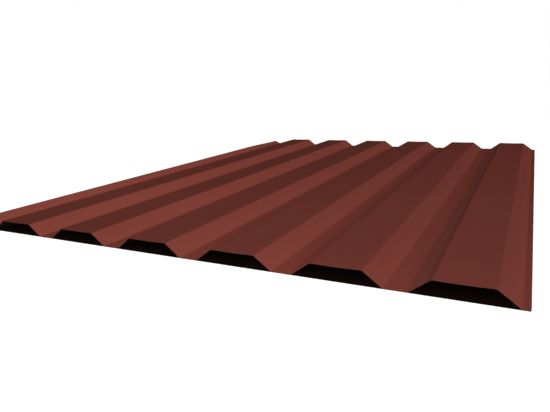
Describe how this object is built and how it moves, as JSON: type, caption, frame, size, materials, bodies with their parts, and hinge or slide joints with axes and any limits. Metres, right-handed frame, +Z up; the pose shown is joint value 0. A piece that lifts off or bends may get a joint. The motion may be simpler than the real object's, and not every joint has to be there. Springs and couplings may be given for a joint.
{
  "type": "corrugated metal sheet",
  "caption": "Trapezoidal box-profile roofing and cladding sheet of coated steel, with broad crests, narrow valleys and a lap leg and lap flange along its long edges.",
  "frame": {"origin": "middle of the flat underside, on the floor plane that the valleys lie on", "axes": "+X across the sheet from the lap leg to the lap flange, +Y along the ribs, +Z up out of the weather face"},
  "size_m": [1.0338, 1.385, 0.0225],
  "materials": {
    "coated_steel": "satin"
  },
  "bodies": {
    "root": {"profiled_sheet": "coated_steel"}
  },
  "joints": []
}
